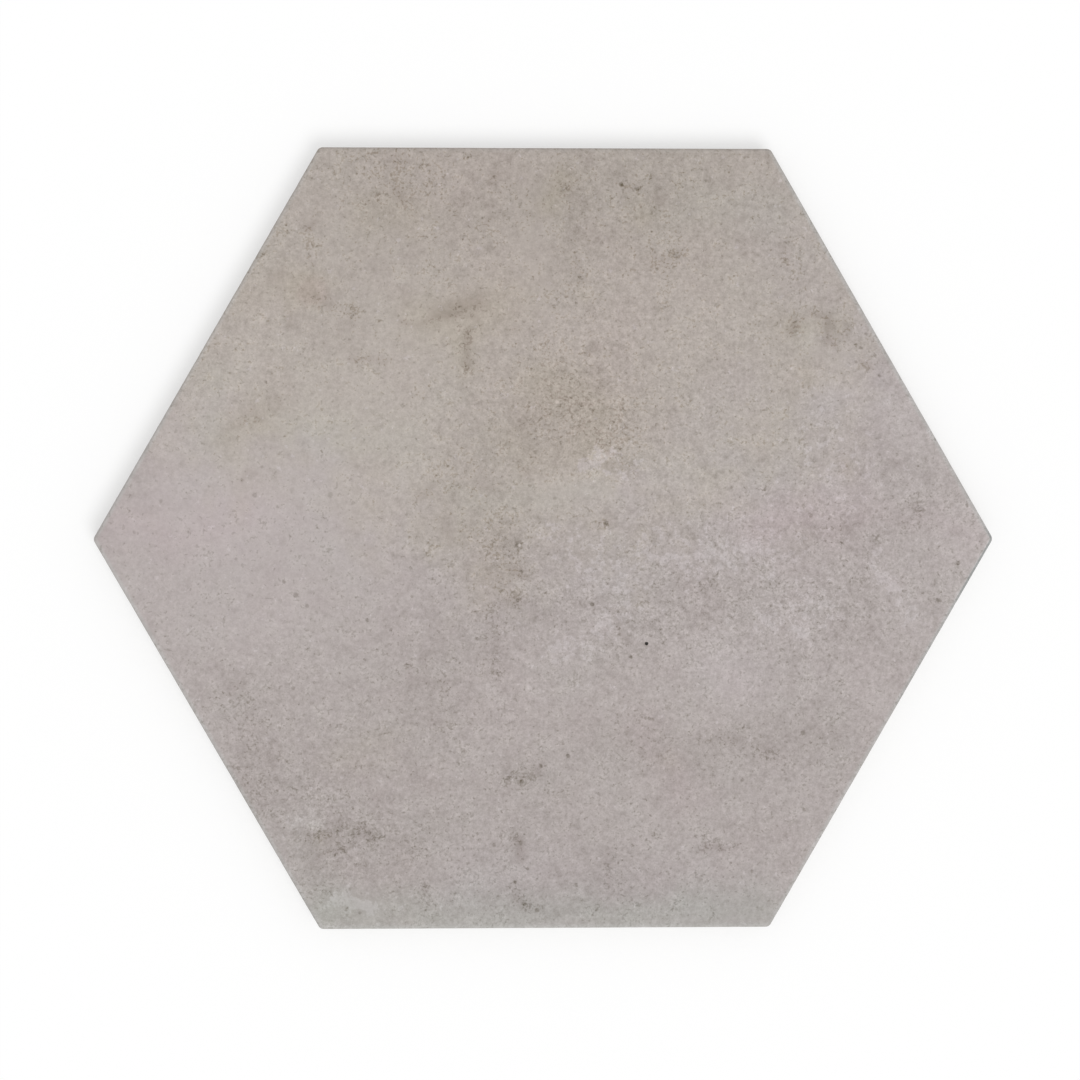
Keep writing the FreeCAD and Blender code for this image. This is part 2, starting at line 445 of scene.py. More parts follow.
# The print's soft marks: name, then strength, half width and path in pixels.
# Tone, warmth, green and stain are in levels of 255, and the rest in shares. The edge kind is painted
# shade and a painted highlight along the arris, not print.
printMarks = {}
printMarks["tone"] = {
    "pale left half": (5.5, 105, (190, 530), (350, 515)),
    "pale far left": (2.5, 60, (200, 400), (330, 430)),
    "pale spot left": (1.5, 30, (400, 435)),
    "pale upper left": (1.5, 45, (390, 350), (300, 400)),
    "streak at the left": (-3.5, 16, (225, 438), (268, 400)),
    "top band": (-3.6, 70, (340, 150), (740, 150)),
    "bank under the top": (-4.2, 38, (365, 224), (500, 222)),
    "corner of the bank": (-1.5, 24, (405, 160), (385, 200)),
    "upper cloud": (-4.5, 50, (585, 205), (640, 210)),
    "upper cloud's left": (-5.0, 24, (560, 180), (572, 285)),
    "upper cloud's right": (-3.0, 22, (655, 200)),
    "light under the top": (-1.2, 35, (700, 170), (770, 200)),
    "cloud at the right": (-1.8, 34, (640, 240), (695, 250)),
    "rust cloud": (-1.6, 20, (310, 290), (345, 325)),
    "left shoulder": (-0.8, 40, (290, 260), (340, 330)),
    "smudge shade": (-1.6, 20, (440, 312), (478, 303)),
    "streak shade": (-4.0, 13, (468, 335), (467, 365)),
    "olive patch": (-5.5, 38, (548, 400), (610, 420)),
    "under the olive's left": (-2.0, 22, (515, 450), (560, 450)),
    "olive tail": (-3.5, 28, (530, 420), (480, 455)),
    "dark band top": (-3.4, 26, (455, 520), (505, 545)),
    "dark band": (-5.5, 28, (505, 560), (500, 650)),
    "dark core": (-1.0, 14, (508, 562)),
    "dark branch": (-3.0, 16, (530, 622), (570, 605)),
    "band's end": (-3.0, 28, (440, 660), (430, 710)),
    "pale under the olive": (4.5, 16, (550, 490), (650, 492)),
    "pale rim of the olive": (1.0, 12, (590, 465), (605, 460)),
    "pale right": (2.0, 90, (700, 440), (860, 430)),
    "pale right spot": (2.0, 20, (830, 490)),
    "behind the mottles": (-2.6, 36, (590, 565), (640, 535), (730, 530), (765, 565)),
    "behind the right mottles": (-2.2, 22, (798, 620)),
    "behind the low mottles": (-2.2, 26, (560, 655), (600, 640)),
    "pale right shoulder": (2.8, 30, (850, 400), (900, 430)),
    "shade of the olive spots": (-5.0, 20, (795, 330), (845, 330)),
    "right notch": (-2.0, 22, (790, 400)),
    "right bank": (-3.4, 18, (800, 535), (900, 520)),
    "far right spot": (-2.5, 20, (920, 510)),
    "right blotch": (-4.5, 24, (865, 595), (850, 640)),
    "right pale streak": (2.5, 14, (872, 558), (920, 625)),
    "right tip": (6.3, 35, (975, 540)),
    "arch": (-3.0, 14, (625, 640), (630, 600), (700, 578), (740, 595)),
    "pale streak": (3.0, 16, (530, 665), (605, 620)),
    "pale patch": (7.0, 27, (725, 665), (735, 695)),
    "pale blob": (3.5, 14, (799, 632)),
    "lower bank": (-5.6, 29, (620, 745), (690, 755), (760, 740), (830, 735)),
    "low middle": (-4.0, 26, (525, 770), (556, 785)),
    "spot shade": (-5.5, 13, (519, 842)),
    "cluster shade": (-3.5, 20, (500, 895), (530, 902)),
    "low cloud": (-4.5, 32, (590, 892), (625, 892)),
    "low right light": (1.2, 34, (700, 852), (795, 846)),
    "low left patch": (-3.0, 20, (315, 845), (385, 835)),
    "low left bank": (-2.5, 40, (350, 855), (410, 850)),
    "low left light": (-5.5, 16, (350, 908)),
    "left rim bank": (-4.4, 32, (240, 700), (265, 790)),
    "left low": (-2.2, 42, (345, 772), (390, 765)),
    "left middle bank": (-2.0, 30, (360, 640), (380, 690)),
    "light left rim": (2.8, 30, (235, 375), (265, 305)),
    "light low left rim": (3.6, 20, (240, 735)),
    "light by the patch": (3.0, 16, (362, 855)),
    "left ground": (-2.0, 90, (330, 780), (420, 850)),
    "lower ground": (-2.0, 80, (450, 860), (760, 830)),
    "upper column": (-1.5, 50, (480, 260), (510, 330)),
    "lower column": (-2.7, 34, (444, 510), (438, 720)),
    "light left shoulder": (4.0, 20, (158, 455), (165, 485)),
    "light right of the middle": (3.3, 36, (690, 497), (765, 520)),
    "light low right": (3.0, 25, (840, 650), (880, 690)),
    "light at the left rim": (3.4, 26, (240, 640), (275, 620)),
    "left bank": (-1.5, 55, (290, 400), (350, 520)),
    "light low left": (2.0, 25, (320, 806), (400, 792)),
    "low right bank": (-3.4, 28, (690, 898), (755, 892)),
    "right of the olive": (-1.5, 24, (665, 414), (712, 416)),
    "right small bank": (-3.2, 26, (838, 430), (920, 468)),
    "lower right edge": (-1.6, 26, (845, 775), (805, 745)),
    "low left corner": (-5.0, 20, (318, 888)),
    "left low edge": (-1.5, 38, (200, 560), (215, 640)),
}
printMarks["warmth"] = {
    "rust": (4.0, 18, (308, 290)),
    "smudge": (3.5, 28, (430, 315), (500, 300)),
    "streak": (2.5, 16, (465, 330), (465, 365)),
    "olive": (3.4, 30, (545, 385), (600, 420), (590, 445)),
    "olive left": (2.0, 22, (510, 440), (530, 460)),
    "beige upper left": (2.0, 20, (365, 210), (410, 215)),
    "beige top": (3.5, 14, (562, 182), (552, 200)),
    "beige right": (3.0, 12, (640, 214)),
    "beige dot": (2.5, 10, (585, 295)),
    "left patch": (2.5, 18, (230, 430), (260, 420)),
    "left edge": (1.5, 25, (245, 290), (280, 280)),
    "olive spots": (2.5, 14, (790, 325), (840, 325)),
    "right spot": (2.0, 12, (805, 375)),
    "right ragged end": (3.0, 12, (850, 470)),
    "low left smear": (1.8, 18, (340, 758), (385, 745)),
    "low left patch": (1.5, 12, (320, 840)),
    "low right": (1.5, 10, (670, 760)),
    "first islet": (1.5, 12, (640, 535)),
    "second islet": (1.5, 12, (640, 595)),
    "third islet": (1.5, 12, (800, 540)),
    "ground below": (0.5, 120, (350, 690), (650, 700)),
    "cooler upper right": (-1.8, 38, (775, 215), (848, 352)),
    "cooler right": (-2.0, 35, (690, 430), (740, 380)),
    "cooler lower right": (-1.0, 40, (730, 670)),
    "cooler bottom": (-1.3, 40, (480, 890), (740, 900)),
}
printMarks["green"] = {
    "bottom strip": (4.7, 27, (330, 920), (600, 921), (765, 912)),
    "low left edge": (1.5, 25, (290, 830), (320, 900)),
    "pink left": (-2.2, 28, (120, 530), (250, 520)),
    "pink right": (-2.5, 32, (760, 530), (850, 510)),
    "pink tip": (-1.5, 20, (910, 520), (970, 530)),
    "rust": (-6.5, 11, (312, 292)),
    "left": (1.5, 28, (300, 430), (410, 440)),
    "far left": (1.5, 20, (215, 380), (210, 440)),
    "middle": (1.2, 14, (470, 500), (600, 490)),
    "right": (1.1, 28, (670, 466), (785, 468)),
    "red top": (-1.2, 110, (440, 200), (590, 330)),
    "red olive": (-0.8, 50, (560, 410), (620, 420)),
    "red middle": (-0.8, 60, (490, 600), (500, 680)),
    "upper right": (1.2, 22, (700, 210), (780, 215)),
    "low pink": (-1.5, 20, (640, 720), (680, 790)),
}
printMarks["grain"] = {
    "smooth left": (-0.5, 100, (150, 540), (300, 520)),
    "smooth upper left": (-0.28, 70, (350, 260), (420, 330)),
    "smooth top": (-0.4, 22, (530, 200), (540, 300)),
    "coarse right": (0.15, 120, (620, 420), (820, 560)),
    "coarse olive": (0.15, 50, (570, 370), (630, 440)),
    "coarse mottles": (0.3, 50, (680, 600), (830, 610)),
    "smooth line": (-0.35, 10, (545, 490), (640, 495)),
    "smooth corner": (-0.3, 35, (740, 905)),
    "coarse low left": (0.25, 45, (300, 800), (340, 860)),
    "coarse dark band": (0.3, 25, (500, 540), (540, 590), (640, 640)),
}
printMarks["dirt"] = {
    "top left haze": (0.35, 20, (380, 160), (430, 175)),
    "top left wisps": (0.3, 12, (395, 185), (415, 200)),
    "brown spot": (0.45, 7, (378, 203)),
    "top brown spot": (0.5, 9, (562, 187)),
    "rust spot": (0.05, 9, (306, 294), (322, 303)),
    "rust trail": (0.15, 6, (329, 304), (342, 307)),
    "sloping smudge": (0.2, 4, (402, 322), (420, 325), (447, 317), (466, 314)),
    "smudge's head": (0.08, 7, (446, 311), (460, 305), (478, 303)),
    "smudge's lower rim": (0.2, 3.6, (440, 318), (466, 314), (480, 308)),
    "smudge haze": (0.05, 9, (450, 305), (478, 297)),
    "streak": (0.4, 3.6, (468, 331), (467, 368)),
    "streak's end": (0.25, 4, (466, 366), (463, 384)),
    "speck group": (0.45, 6, (352, 311), (353, 328)),
    "top spot": (0.6, 5, (494, 177)),
    "top edge spot": (0.45, 4, (468, 157)),
    "middle spot": (0.5, 5, (554, 306)),
    "left wisp": (0.45, 4, (357, 359), (384, 360)),
    "left spots": (0.45, 5, (310, 227), (309, 261)),
    "right pair": (0.8, 4, (622, 184), (638, 189)),
    "right third": (0.6, 4, (651, 177)),
    "right group": (0.38, 10, (658, 262), (684, 256)),
    "right group's core": (0.25, 5, (675, 256)),
    "brown dot": (0.6, 4, (664, 308)),
    "olive spot left": (0.3, 8, (793, 330), (797, 318)),
    "olive spot middle": (0.25, 7, (812, 313), (828, 325)),
    "olive spot right": (0.3, 8, (832, 344), (848, 327)),
    "right speckling": (0.35, 14, (783, 255), (800, 288)),
    "right edge haze": (0.3, 12, (868, 365)),
    "olive haze": (0.22, 34, (560, 390), (610, 430)),
    "band haze": (0.23, 22, (440, 465), (485, 490), (505, 545), (500, 600)),
    "band spot": (0.7, 6, (520, 571)),
    "band low spot": (0.6, 6, (518, 600)),
    "band trail": (0.4, 6, (490, 615), (500, 675)),
    "band trail's end": (0.45, 7, (503, 712)),
    "middle dot": (0.7, 4, (606, 523)),
    "dark blur": (0.45, 9, (711, 584)),
    "mottle haze": (0.12, 30, (650, 600), (720, 600)),
    "left olive specks": (0.4, 7, (234, 421), (259, 419)),
    "right dark patch": (0.55, 9, (918, 509)),
    "right streak haze": (0.4, 9, (862, 580), (876, 539)),
    "low strokes": (0.45, 6, (512, 779), (522, 781), (541, 766)),
    "low spot": (0.5, 8, (519, 843)),
    "low cluster": (0.45, 7, (516, 890), (524, 904), (537, 910)),
    "low wisps": (0.45, 7, (705, 847), (735, 846)),
    "low right spots": (0.4, 8, (694, 737), (738, 741), (768, 750), (786, 768)),
    "low left patch": (0.25, 9, (303, 838), (334, 832), (372, 832)),
    "low left curls": (0.35, 6, (325, 855), (352, 843)),
    "low left spots": (0.1, 6, (353, 836), (369, 833)),
    "low left haze": (0.15, 25, (300, 800), (400, 840)),
    "low left streaks": (0.55, 5, (422, 881), (426, 909)),
    "low left rim": (0.3, 18, (240, 700), (262, 800)),
    "low left dots": (0.5, 5, (345, 890), (325, 893)),
    "low thread": (0.35, 7, (612, 850), (608, 890), (585, 915)),
}
printMarks["chalk"] = {
    "under the olive": (0.65, 9, (584, 464), (598, 455), (612, 455)),
    "beside it": (0.4, 8, (600, 475), (625, 472), (640, 462)),
    "mottles left": (0.32, 26, (560, 545), (600, 570)),
    "mottles middle": (0.42, 30, (650, 555), (780, 550)),
    "mottles right": (0.38, 26, (760, 620), (830, 600)),
    "mottles low": (0.4, 22, (560, 650), (620, 615)),
    "right streaks": (0.5, 10, (872, 558), (920, 625)),
    "pale blob": (0.75, 8, (799, 632)),
    "low left patch": (0.6, 13, (335, 897), (372, 908)),
    "low left band": (0.15, 7, (285, 822), (330, 818), (372, 822)),
    "pale right": (0.25, 40, (830, 430), (860, 470)),
}
printMarks["stain"] = {
    "smudge": (-8.5, 7.5, (434, 314), (445, 311), (460, 307), (480, 303)),
    "smudge's foot": (-10, 3, (402, 322), (416, 326), (425, 321), (436, 316), (450, 317), (462, 313)),
    "smudge's end": (-8, 3, (470, 315), (478, 320)),
    "rust": (-4.5, 5, (302, 292), (316, 297)),
    "rust tail": (-5, 3.6, (316, 297), (332, 307)),
    "thin streak": (-6, 3, (405, 286), (404, 300)),
    "wisp": (-9, 3, (349, 360), (366, 359), (385, 362)),
    "left pair": (-9, 4.5, (290, 317), (291, 326)),
    "streak": (-12, 3.8, (468, 331), (466, 350), (467, 367)),
    "olive spot": (-16, 3.6, (791, 332), (795, 325)),
    "olive spot's tail": (-6, 4, (797, 321), (803, 319)),
    "olive arch": (-9, 3.5, (811, 312), (817, 315)),
    "olive arch's end": (-7, 3, (821, 316), (825, 316)),
    "olive band": (-14, 4.5, (828, 320), (827, 333)),
    "olive ring": (-5, 3.2, (836, 322), (846, 322), (850, 328), (845, 334), (837, 336)),
    "olive low spot": (-11, 4.5, (827, 342), (833, 345)),
    "grey patch": (-12, 4, (863, 363), (870, 368)),
    "low left brown": (-6, 8, (310, 839), (330, 838)),
    "low left core": (-7, 6, (362, 829), (370, 838)),
    "low left top": (-3, 5, (345, 825), (362, 826)),
    "low left curl": (-8, 2.6, (318, 858), (326, 852), (333, 852), (343, 849)),
    "low left wisp": (-5, 4, (308, 865), (318, 862)),
    "low left cap": (10, 7.5, (298, 820), (316, 822)),
    "blotch's knob": (7, 5, (340, 891), (346, 888)),
    "low left stroke": (-8, 2.4, (426, 884), (426, 892)),
    "low stroke": (-5.5, 3, (508, 757), (508, 790)),
    "low hook": (-7, 3, (519, 787), (523, 775)),
    "low slope": (-9.5, 3, (535, 774), (545, 760)),
    "low spot": (-13, 5, (519, 841), (522, 858)),
    "low cluster": (-6, 4, (517, 898), (523, 905), (537, 910)),
    "between the olive spots": (5, 8, (812, 326), (806, 342)),
    "pale fleck": (8, 4, (593, 456), (604, 455)),
    "pale fleck's tail": (6, 4, (594, 464), (596, 478)),
    "brown arc": (-6, 4, (608, 466), (624, 464), (640, 474)),
    "left mark": (-7, 3, (243, 418), (248, 412), (254, 408)),
    "left mark's right": (-6, 3, (258, 418), (262, 421)),
    "left mark's upper": (-6, 3, (275, 412), (280, 408), (276, 396)),
    "left line": (-7, 3, (224, 430), (240, 426)),
    "low right stroke": (-8, 2.4, (706, 843), (703, 851)),
    "low right ring": (-7, 2.6, (711, 847), (716, 845), (721, 849)),
    "low right specks": (-7, 3, (731, 849), (739, 845)),
    "low right line": (-6, 2.4, (714, 864), (722, 868)),
    "upper left wisp": (-6, 5, (393, 158), (402, 165)),
    "upper left wisp's foot": (-9, 4, (396, 190), (403, 202)),
    "upper spot": (-9.5, 4.5, (491, 183), (496, 174)),
    "upper smudge": (-8, 4, (484, 226), (489, 218)),
    "left shoulder spot": (-12, 4, (306, 228), (315, 223)),
    "pale upper left": (4, 8, (421, 224)),
    "pale left of the smudge": (4, 9, (404, 281)),
    "speck group's curl": (-5, 3.4, (354, 306), (350, 315), (350, 326)),
    "left edge smudge": (-9, 6, (272, 280), (282, 273)),
    "right of the streak": (-7, 4, (514, 328)),
    "rust's body": (-2, 7, (306, 291), (318, 298), (331, 305)),
    "right of the pair": (-8, 3.4, (656, 195), (661, 204)),
    "middle slope": (-5, 5, (576, 262), (583, 284)),
    "group's body": (-3.5, 6, (650, 266), (664, 262), (677, 254)),
    "right speckling's top": (-6, 5, (783, 246), (786, 262)),
    "right speckling's foot": (-5, 4, (783, 282), (785, 295)),
    "small fork": (-9, 3.4, (588, 352), (594, 345), (600, 347)),
    "right small slope": (-6, 4, (710, 348), (716, 358)),
    "upper right spot": (-6, 4, (731, 186)),
    "upper right stroke": (-7, 3.4, (737, 222), (745, 217)),
    "under the ring": (-7, 4, (513, 569), (526, 577)),
    "far under the ring": (-7, 4, (506, 600), (526, 602)),
    "left of the middle": (-8, 5, (480, 484), (490, 488)),
    "olive's foot": (-7, 4, (519, 462), (526, 472)),
    "olive's foot right": (-7, 3.4, (528, 450), (535, 458)),
    "left column": (-8, 5, (418, 498), (432, 490)),
    "left column's foot": (-5, 6, (444, 520), (450, 536)),
    "round the middle dot": (-5.5, 4, (600, 525), (612, 519)),
    "chain to the pinhole": (-9, 3.2, (617, 622), (620, 632), (628, 641)),
    "chain's head": (-6, 6, (613, 612), (624, 616)),
    "band's right foot": (-5, 7, (534, 610), (546, 616)),
    "pale fleck at the right": (7, 4, (608, 536), (620, 538)),
    "pale fleck under the ring": (8, 5, (518, 583), (524, 585)),
    "low left stub": (-7, 4, (374, 798), (382, 792)),
    "low cluster's head": (-5, 5, (516, 898), (527, 907)),
    "right bank's slope": (-5, 5, (760, 757), (774, 746)),
    "right bank's twin": (-3, 4, (733, 742), (745, 738)),
    "low thread's top": (-6, 3.2, (608, 851), (606, 865)),
    "low thread's foot": (-8, 3.2, (607, 875), (609, 885)),
    "low smudge": (-4, 5, (628, 796)),
    "right column": (-5, 5, (795, 658), (790, 696)),
    "smudge's upper head": (-5, 7, (455, 304), (476, 299)),
    "left thin curl": (-9, 3.2, (241, 480), (248, 470), (256, 474)),
    "left low smudge": (-6, 5, (232, 690), (242, 682)),
    "right dark spot": (-6, 4.5, (914, 506), (922, 514)),
    "right low tail": (-7, 4, (926, 606), (938, 600)),
    "right arch": (-6, 3.4, (838, 528), (846, 526), (852, 536)),
    "right brown stroke": (-9, 4, (803, 526), (812, 514)),
    "right mottle": (-4, 7, (799, 598), (812, 592)),
    "pale blob": (10, 5, (799, 630)),
    "beside the blob": (-6, 5, (784, 628)),
    "right ragged end": (-7, 5, (838, 460), (846, 468)),
    "right thin stroke": (-6, 4, (800, 474), (803, 458)),
    "right pair": (-6, 4.5, (806, 436), (822, 434)),
    "right red spot": (-5, 5, (890, 460), (906, 468)),
    "pale wisp of the middle": (6, 5, (484, 684), (504, 700)),
    "pale wisp's right": (6, 5, (528, 686), (546, 700)),
    "low dark column": (-7, 4, (409, 662), (411, 681)),
    "low dark column's twin": (-6, 4, (421, 655), (425, 668)),
    "low dark bank": (-5, 5, (420, 680), (446, 682)),
    "low right arch": (-6, 3.4, (701, 852), (706, 846), (716, 845), (723, 850)),
}
printMarks["smooth"] = {
    "pale blotch": (0.55, 15, (338, 897), (370, 907)),
    "right of the olive spots": (0.35, 10, (806, 334), (812, 350), (840, 358)),
}
# Painted shade and a painted highlight on the arris near the right corner: a dark line on the arris, and
# a paler band just inside it.
printMarks["edge"] = {
    "right corner": (0.78, 16, (990, 541), (962, 592)),
    "lower right side": (0.3, 14, (950, 611), (905, 690)),
}
printMarks["printedRim"] = {
    "top side": (0.9, 14, (330, 147), (757, 147)),
    "upper left side": (0.45, 14, (318, 147), (173, 398)),
}


def nearness(x, y, halfWidth, path, seed):
    # Bell curve of the distance to a path, exp(-(distance / halfWidth) squared), with the place
    # shifted by noise of about the mark's own size so that no mark is a plain oval.
    side = 1.3 * halfWidth
    u = x + 0.8 * halfWidth * (cloud(x, y, side, seed) - 0.5)
    v = y + 0.8 * halfWidth * (cloud(x, y, side, seed + 500) - 0.5)
    path = np.array(path, float)
    starts, ends = (path, path) if len(path) == 1 else (path[:-1], path[1:])
    nearest = np.full(len(x), np.inf)
    for (x0, y0), (x1, y1) in zip(starts, ends):
        run = (x1 - x0) ** 2 + (y1 - y0) ** 2
        along = np.clip(((u - x0) * (x1 - x0) + (v - y0) * (y1 - y0)) / max(run, 1e-9), 0, 1)
        gap = (u - x0 - along * (x1 - x0)) ** 2 + (v - y0 - along * (y1 - y0)) ** 2
        nearest = np.minimum(nearest, gap)
    return np.exp(-nearest / halfWidth ** 2)


def onFace(x, y):
    # Where the camera's ray through a pixel of the photograph meets the face
    place, right, up, forward = cameraAxes(view)
    middle = photograph["width"] / 2
    focal = view["lens"] / 36 * photograph["width"]
    ray = forward + right * ((x - middle) / focal) + up * ((middle - y) / focal)
    return place + ray * ((thickness - place.z) / ray.z)


def printFields(points, values, marks):
    # Each kind's sum of strength times nearness at every point, with lengths in pixels of the face.
    # The warm upper half ends at a border that noise makes ragged.
    def path(pixels):
        return np.array([onFace(*pixel)[:2] for pixel in pixels]) / values["pixel"]

    x = points[:, 0] / values["pixel"]
    y = points[:, 1] / values["pixel"]
    fields = {}
    seed = 10
    for kind, named in marks.items():
        total = np.zeros(len(points))
        for strength, halfWidth, *pixels in named.values():
            total += strength * nearness(x, y, halfWidth, path(pixels), seed)
            seed += 1
        fields[kind] = total
    border = path(values["warmBelow"]).T
    ragged = sum(shift * (cloud(x, y, lumps, seed) - 0.5) for shift, lumps, seed in values["ragged"])
    above = np.clip((y - np.interp(x, *border) + ragged) / values["warmEdge"] + 0.5, 0, 1)
    fields["warmth"] += values["warmth"] * above
    return fields


def addPiece(name, points, triangles):
    mesh = bpy.data.meshes.new(name)
    mesh.from_pydata(points, [], triangles)
    mesh.polygons.foreach_set("use_smooth", np.ones(len(triangles), bool))
    mesh.update()
    piece = bpy.data.objects.new(name, mesh)
    bpy.context.scene.collection.objects.link(piece)
    return piece


points, triangles = makeTile(tile)
body = addPiece("tile_body", points, triangles)
for kind, values in printFields(points, photograph, printMarks).items():
    layer = body.data.attributes.new(kind, "FLOAT", "POINT")
    layer.data.foreach_set("value", values)
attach(body, "root")
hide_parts("hexagon_tile")
print("tile made:", len(points), "points,", len(triangles), "triangles")

# Dots of the print that are too crisp for the net: name, then levels, radius and place in pixels.
printDots = {
    "pinhole": (150, 1.7, (646.5, 643.4)),
    "pinhole's neighbour": (32, 1.9, (631, 657)),
    "pinhole's far neighbour": (20, 1.5, (619, 629)),
    "brown dot above": (34, 2.6, (592, 604)),
    "middle dot": (26, 2.6, (606, 523)),
    "ring": (24, 4.2, (518.9, 544.5)),
    "ring's middle": (-36, 1.8, (519.5, 545.3)),
    "under the ring": (22, 2.2, (521.5, 571.5)),
    "far under the ring": (14, 2.4, (518, 600)),
    "dots at the right": (20, 1.7, (669, 491)),
    "second": (18, 1.7, (732, 487)),
    "third": (18, 1.6, (765, 489)),
    "fourth": (20, 1.8, (811, 516)),
    "top pair left": (27, 2.4, (621, 184)),
    "top pair right": (16, 2.3, (637, 189)),
    "top spot right": (22, 1.8, (651, 177)),
    "top spot left": (20, 1.8, (494, 177)),
    "top edge": (18, 1.6, (468, 157)),
    "middle top": (18, 2.0, (554, 306)),
    "brown dot": (18, 2.2, (664, 308)),
    "group": (10, 2.2, (675, 256)),
    "pale dot": (-22, 1.9, (557, 402)),
    "left upper": (21, 2.7, (255, 495)),
    "left upper's twin": (16, 1.8, (242, 480)),
    "left curl": (18, 2.9, (330, 495)),
    "left lower": (24, 2.8, (296, 595)),
    "left lower's twin": (24, 2.1, (284, 582)),
    "left lowest": (20, 2.1, (307, 606)),
    "below the left": (20, 2.0, (367, 620)),
    "beside it": (18, 1.8, (391, 630)),
    "far left upper": (16, 1.8, (176, 431)),
    "far left shoulder": (14, 1.8, (203, 408)),
    "far left": (16, 1.8, (161, 501)),
    "left tip": (14, 1.8, (134, 532)),
    "left tip's twin": (14, 1.6, (162, 574)),
    "left middle": (16, 1.8, (236, 559)),
    "left small": (14, 1.6, (156, 481)),
    "low left spot": (13, 2.4, (353, 836)),
    "low left spot's twin": (13, 2.4, (369, 833)),
    "low left dot": (18, 1.8, (347, 915)),
    "low left dot's twin": (18, 1.8, (360, 913)),
    "low left pair": (16, 1.8, (331, 892)),
    "low left pair's twin": (16, 1.8, (350, 889)),
    "low dot": (18, 2.0, (494, 845)),
    "left rim dot": (18, 2.0, (238, 768)),
    "under the middle": (16, 1.8, (432, 720)),
    "left of it": (16, 1.8, (324, 698)),
    "right upper": (12, 2.0, (876, 539)),
    "right tip": (34, 2.7, (958, 563)),
    "right lower": (20, 2.0, (904, 591)),
    "right lowest": (24, 2.4, (938, 600)),
    "right small": (16, 1.6, (764, 490)),
    "right high": (16, 1.6, (880, 455)),
    "low stroke's dot": (22, 2.0, (522, 781)),
    "low stroke's end": (20, 2.2, (541, 766)),
    "low stroke's start": (22, 2.2, (508, 778)),
    "low small": (27, 2.2, (568, 756)),
    "low patch": (15, 2.4, (521, 843)),
    "low chain": (20, 1.8, (506, 861)),
    "low chain's end": (20, 1.8, (515, 882)),
    "low right": (24, 2.4, (576, 885)),
    "low cluster": (15, 2.6, (524, 904)),
    "low cluster's end": (24, 2.2, (537, 910)),
    "right bank": (16, 2.0, (770, 752)),
    "right bank's left": (22, 2.3, (652, 719)),
    "haze at the right": (22, 2.0, (866, 334)),
    "haze's second": (24, 1.8, (861, 348)),
    "haze's third": (18, 1.8, (856, 362)),
    "haze's fourth": (20, 1.8, (875, 356)),
    "haze's fifth": (16, 1.7, (880, 376)),
    "left patch's upper": (16, 1.8, (293, 387)),
    "left patch's top": (14, 1.7, (266, 382)),
    "left patch's foot": (16, 1.8, (262, 467)),
    "low right ring's foot": (18, 1.8, (752, 871)),
    "low right ring's end": (15, 1.8, (756, 876)),
    "upper left": (15, 1.8, (427, 165)),
    "upper left's lower": (14, 1.7, (482, 218)),
    "upper middle": (15, 1.8, (580, 277)),
    "above the band": (14, 1.8, (551, 386)),
    "band's left": (15, 1.8, (535, 452)),
    "band's lower left": (15, 1.8, (523, 469)),
    "band's right": (14, 1.7, (574, 470)),
    "band's foot": (15, 1.8, (530, 486)),
    "band's foot right": (14, 1.7, (555, 498)),
    "under the band": (15, 1.8, (562, 520)),
    "under the band's left": (15, 1.8, (538, 546)),
    "right of the middle": (15, 1.8, (659, 513)),
    "right tip's upper": (14, 1.7, (978, 549)),
    "right lower's right": (14, 1.7, (922, 582)),
    "right lower's upper": (18, 2.1, (902, 577)),
    "right lower's left": (14, 1.7, (889, 601)),
    "right lower's foot": (14, 1.7, (890, 611)),
    "right curl's foot": (14, 1.8, (850, 582)),
    "low chain's start": (15, 1.8, (501, 837)),
    "low chain's foot": (14, 1.7, (514, 882)),
    "low left far": (14, 1.8, (413, 852)),
    "low left farther": (14, 1.8, (393, 849)),
    "low stroke's foot": (15, 1.8, (426, 910)),
    "low left small": (13, 1.7, (326, 907)),
    "left low upper": (18, 2.2, (293, 688)),
    "left low lower": (15, 2.0, (312, 703)),
    "left low foot": (14, 2.0, (345, 727)),
    "lower right spot": (26, 2.6, (803, 733)),
    "lower right small": (18, 2.1, (785, 774)),
    "lower middle right": (15, 2.1, (742, 780)),
    "lower middle": (15, 2.1, (711, 783)),
    "lower middle left": (14, 1.9, (643, 757)),
    "right lower far": (17, 2.1, (857, 668)),
    "left curl's right": (15, 2.3, (353, 503)),
    "left of the middle": (14, 2.0, (197, 546)),
    "right lower middle": (14, 2.2, (829, 655)),
}

porcelain = {
    "shadeTint": (0.0131, 0.0135, 0.0147),   # share of the light that one level is worth, at this grey
    "pinkCool": (178.3, 166.3, 167.3),
    "pinkWarm": (179.4, 167.4, 158.4),
    "greenCool": (171.9, 169.9, 165.9),
    "greenWarm": (173.0, 171.0, 157.0),
    "exposure": 0.982,
    "clay": (176, 171, 164),     # the unprinted body of the wall and back
    "dust": (206, 203, 197),     # kiln dust on the raised parts of the back
    "dustShare": 0.35,
    "rim": (180, 178, 175),      # the arris, where the print thins out
    "rimShare": 0.65,
    "arrisShadeInk": (139, 141, 140),  # painted shade: the dark line on the arris at the right corner
    "arrisHighlightLevels": 5.0,             # painted highlight: levels that the band inside that line is paler
    "cloudLevels": 13.0,
    "mottleLevels": 35.0,
    "grainLevels": 57.0,
    "speckLevels": 16.0,
    "blotLevels": 6.0,
    "curlLevels": 15.0,
    "chalkLevels": 11.0,
    "crowding": 0.27,            # how dense the specks are where nothing is marked
    "noises": {                  # largest lumps in metres, detail, roughness and seed
        "drift": (0.0190, 2.0, 0.7, 3),
        "mottle": (0.0060, 2.0, 1.0, 2),
        "grain": (0.0013, 2.0, 0.9, 1),
        "specks": (0.00095, 1.0, 0.6, 4),
        "blots": (0.0031, 1.0, 0.5, 9),
        "loops": (0.0020, 0.0, 0.5, 5),
        "curls": (0.0015, 1.0, 0.5, 6),
        "chalk": (0.0032, 3.0, 0.75, 7),
        "grit": (0.0016, 4.0, 0.7, 8),
    },
}


